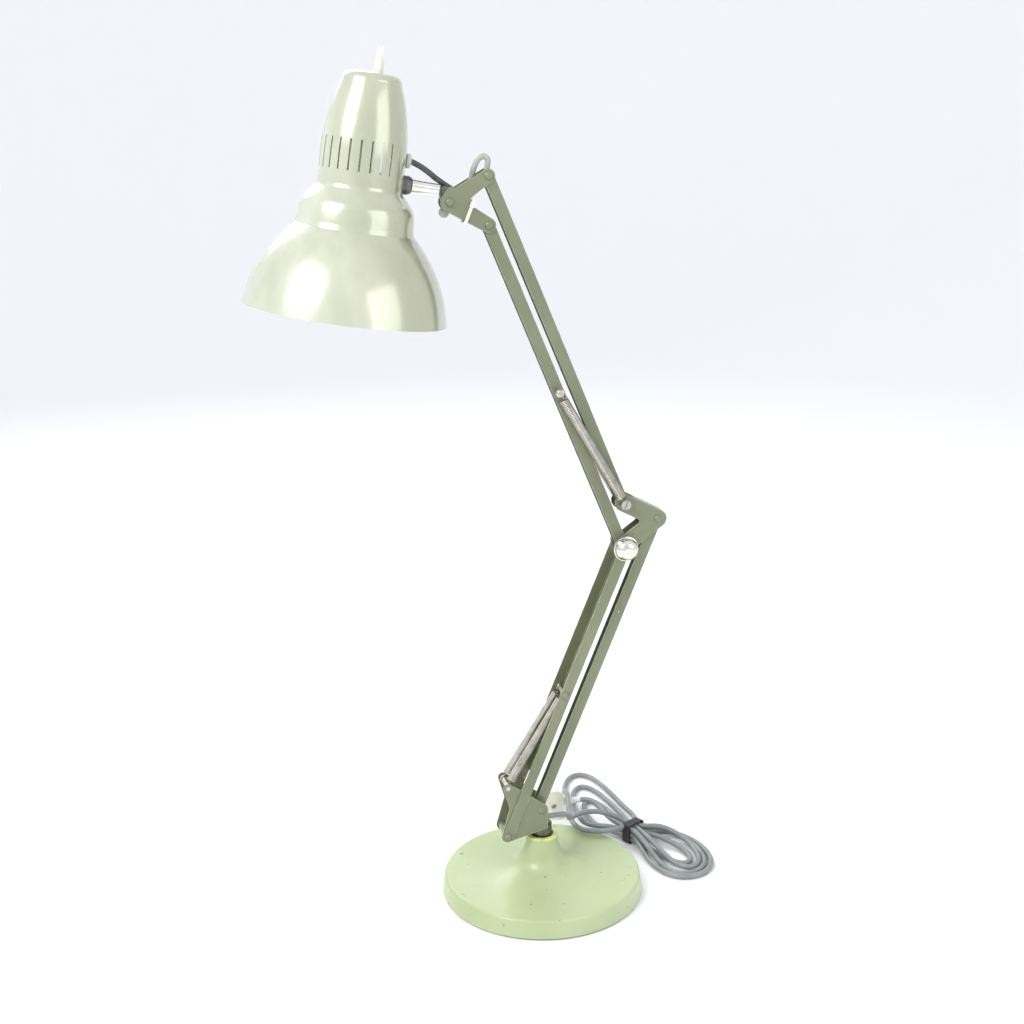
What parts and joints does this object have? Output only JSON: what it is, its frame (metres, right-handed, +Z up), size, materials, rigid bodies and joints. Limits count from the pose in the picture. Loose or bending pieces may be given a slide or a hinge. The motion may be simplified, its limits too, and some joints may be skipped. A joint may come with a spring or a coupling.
{
  "type": "architect desk lamp",
  "caption": "Spring-balanced desk lamp with a round cast base, two linked parallelogram arms and a tilting, slotted spun shade.",
  "frame": {"origin": "underside of the base, on the swivel axis", "axes": "+Z up along the swivel axis, -X towards the shade, +Y to the far side"},
  "size_m": [0.5244, 0.3905, 0.9492],
  "materials": {
    "base_enamel": "satin",
    "felt": "matte",
    "brass": "satin",
    "flex": "satin",
    "flex_bundle": "satin",
    "tie": "matte",
    "white_plastic": "gloss",
    "arm_enamel": "satin",
    "dark_steel": "satin",
    "bright_steel": "satin",
    "spring_steel": "satin",
    "chrome": "polished",
    "shade_paint": "gloss",
    "bulb_glass": "gloss",
    "cap_metal": "satin",
    "grommet": "satin"
  },
  "bodies": {
    "base": {"base_casting": "base_enamel", "base_pad": "felt", "swivel_bush": "brass", "swivel_washer": "brass", "mains_lead": "flex", "cord_hank": "flex_bundle", "cord_tie": "tie", "plug_body": "white_plastic", "plug_sleeve": "white_plastic", "plug_pins": "brass"},
    "turret": {"base_bracket": "arm_enamel", "swivel_spigot": "dark_steel", "swivel_nut": "bright_steel", "lower_arm_pin": "arm_enamel", "lower_link_pins": "arm_enamel", "lower_spring_pin": "bright_steel", "cord_clip": "white_plastic", "cord_in_bracket": "flex", "lower_springs": "spring_steel"},
    "lower_arm": {"lower_arm_channel": "arm_enamel", "spring_crossbar": "arm_enamel", "elbow_bolt": "bright_steel", "elbow_spacers": "bright_steel", "elbow_cup_washer": "chrome"},
    "elbow_knob": {"elbow_knob": "chrome"},
    "lower_link": {"lower_link_bar": "arm_enamel", "cord_in_lower_link": "flex"},
    "elbow": {"elbow_bracket": "arm_enamel", "elbow_spring_screws": "bright_steel", "elbow_link_rivets": "arm_enamel", "cord_in_elbow": "flex", "upper_springs": "spring_steel"},
    "upper_arm": {"upper_arm_bar": "arm_enamel", "upper_spring_screws": "bright_steel"},
    "upper_link": {"upper_link_bar": "arm_enamel", "cord_in_upper_link": "flex"},
    "head": {"head_bracket": "arm_enamel", "head_rivet": "arm_enamel", "head_link_rivets": "arm_enamel", "tilt_bolt": "arm_enamel", "cable_tie": "white_plastic", "head_cord_loop": "flex"},
    "wing_nut": {"wing_nut": "bright_steel"},
    "tilt": {"tilt_lug": "dark_steel", "friction_washer": "dark_steel", "shade_tube": "chrome", "head_lead_tilt": "flex"},
    "shade": {"shade_shell": "shade_paint", "tube_fitting": "dark_steel", "tube_washer": "bright_steel", "lamp_holder": "white_plastic", "bulb": "bulb_glass", "bulb_cap": "cap_metal", "switch_body": "white_plastic", "grommet": "grommet", "cord_in_shade": "flex", "head_lead_shade": "flex"},
    "switch_knob": {"switch_knob": "white_plastic"}
  },
  "joints": [
    {"name": "swivel", "type": "hinge", "parent": "base", "child": "turret", "pos_m": [0, 0, 0.05], "axis": [0, 0, 1], "range_deg": [-170, 170], "deforming": ["mains_lead"]},
    {"name": "lower_arm", "type": "hinge", "parent": "turret", "child": "lower_arm", "pos_m": [-0.044, 0, 0.079], "axis": [0, 1, 0], "range_deg": [-58, 16], "deforming": ["lower_springs"]},
    {"name": "lower_link", "type": "hinge", "parent": "turret", "child": "lower_link", "pos_m": [-0.004, 0, 0.108], "axis": [0, 1, 0], "range_deg": [-58, 16]},
    {"name": "elbow_level", "type": "hinge", "parent": "lower_arm", "child": "elbow", "pos_m": [0.09273, 0, 0.41742], "axis": [0, 1, 0], "range_deg": [-16, 58]},
    {"name": "elbow_knob", "type": "hinge", "parent": "lower_arm", "child": "elbow_knob", "pos_m": [0.09273, -0.025, 0.41742], "axis": [0, 1, 0], "continuous": true},
    {"name": "upper_arm", "type": "hinge", "parent": "elbow", "child": "upper_arm", "pos_m": [0.09273, 0, 0.41742], "axis": [0, -1, 0], "range_deg": [-7, 80], "deforming": ["upper_springs"]},
    {"name": "upper_link", "type": "hinge", "parent": "elbow", "child": "upper_link", "pos_m": [0.09273, 0, 0.46742], "axis": [0, -1, 0], "range_deg": [-7, 80]},
    {"name": "head_level", "type": "hinge", "parent": "upper_arm", "child": "head", "pos_m": [-0.0546, 0, 0.77312], "axis": [0, -1, 0], "range_deg": [-80, 7]},
    {"name": "wing_nut", "type": "hinge", "parent": "head", "child": "wing_nut", "pos_m": [-0.0951, 0.012, 0.79712], "axis": [0, 1, 0], "continuous": true},
    {"name": "shade_tilt", "type": "hinge", "parent": "head", "child": "tilt", "pos_m": [-0.0951, 0, 0.79712], "axis": [0, 1, 0], "range_deg": [-20, 35], "deforming": ["head_lead_tilt"]},
    {"name": "shade_swivel", "type": "hinge", "parent": "tilt", "child": "shade", "pos_m": [-0.12515, 0, 0.81283], "axis": [-0.9877, 0, 0.1564], "range_deg": [-60, 60], "deforming": ["head_lead_shade"]},
    {"name": "switch", "type": "hinge", "parent": "shade", "child": "switch_knob", "pos_m": [-0.16031, 0, 0.93989], "axis": [0.1564, 0, 0.9877], "range_deg": [0, 90]}
  ],
  "couplings": [
    {"joint": "lower_link", "follows": "lower_arm", "ratio": 1},
    {"joint": "elbow_level", "follows": "lower_arm", "ratio": -1},
    {"joint": "upper_link", "follows": "upper_arm", "ratio": 1},
    {"joint": "head_level", "follows": "upper_arm", "ratio": -1}
  ]
}
